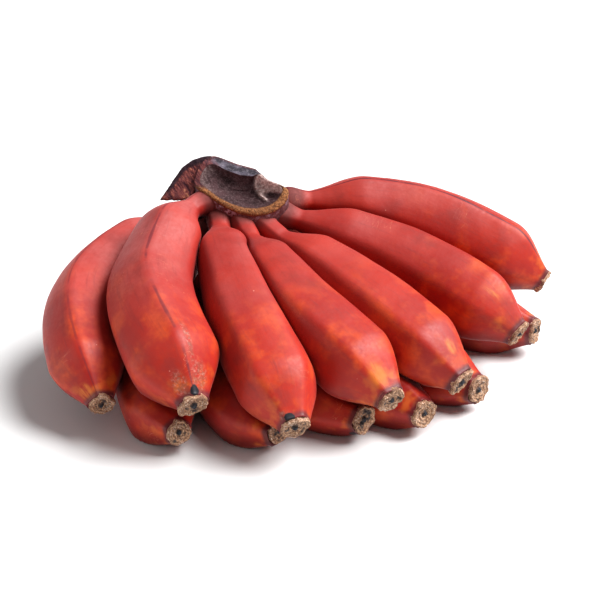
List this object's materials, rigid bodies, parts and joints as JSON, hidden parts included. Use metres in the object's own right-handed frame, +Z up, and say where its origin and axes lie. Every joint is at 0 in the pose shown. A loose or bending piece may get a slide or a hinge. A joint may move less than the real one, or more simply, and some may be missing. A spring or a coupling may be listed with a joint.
{
  "type": "bunch of bananas",
  "caption": "A hand of short, fat red bananas fanned out from a dry woody crown and lying on its lower row.",
  "frame": {"origin": "middle of the underside of the whole hand's box, on the surface it lies on", "axes": "+Z up; +X along the fan, from the leftmost banana to the rightmost; the tips point towards -Y and the crown lies towards +Y"},
  "size_m": [0.308, 0.1998, 0.1154],
  "materials": {
    "banana_peel": "smooth red peel with a soft sheen and a dusty bloom; ends in a rough tan cork stub",
    "crown_bark": "dry, rough, brown-black crown with a tan rim"
  },
  "bodies": {
    "root": {"crown": "crown_bark", "banana_upper_1": "banana_peel", "banana_upper_2": "banana_peel", "banana_upper_3": "banana_peel", "banana_upper_4": "banana_peel", "banana_upper_5": "banana_peel", "banana_upper_6": "banana_peel", "banana_upper_7": "banana_peel", "banana_lower_1": "banana_peel", "banana_lower_2": "banana_peel", "banana_lower_3": "banana_peel", "banana_lower_4": "banana_peel", "banana_lower_5": "banana_peel", "banana_lower_6": "banana_peel"}
  },
  "joints": []
}
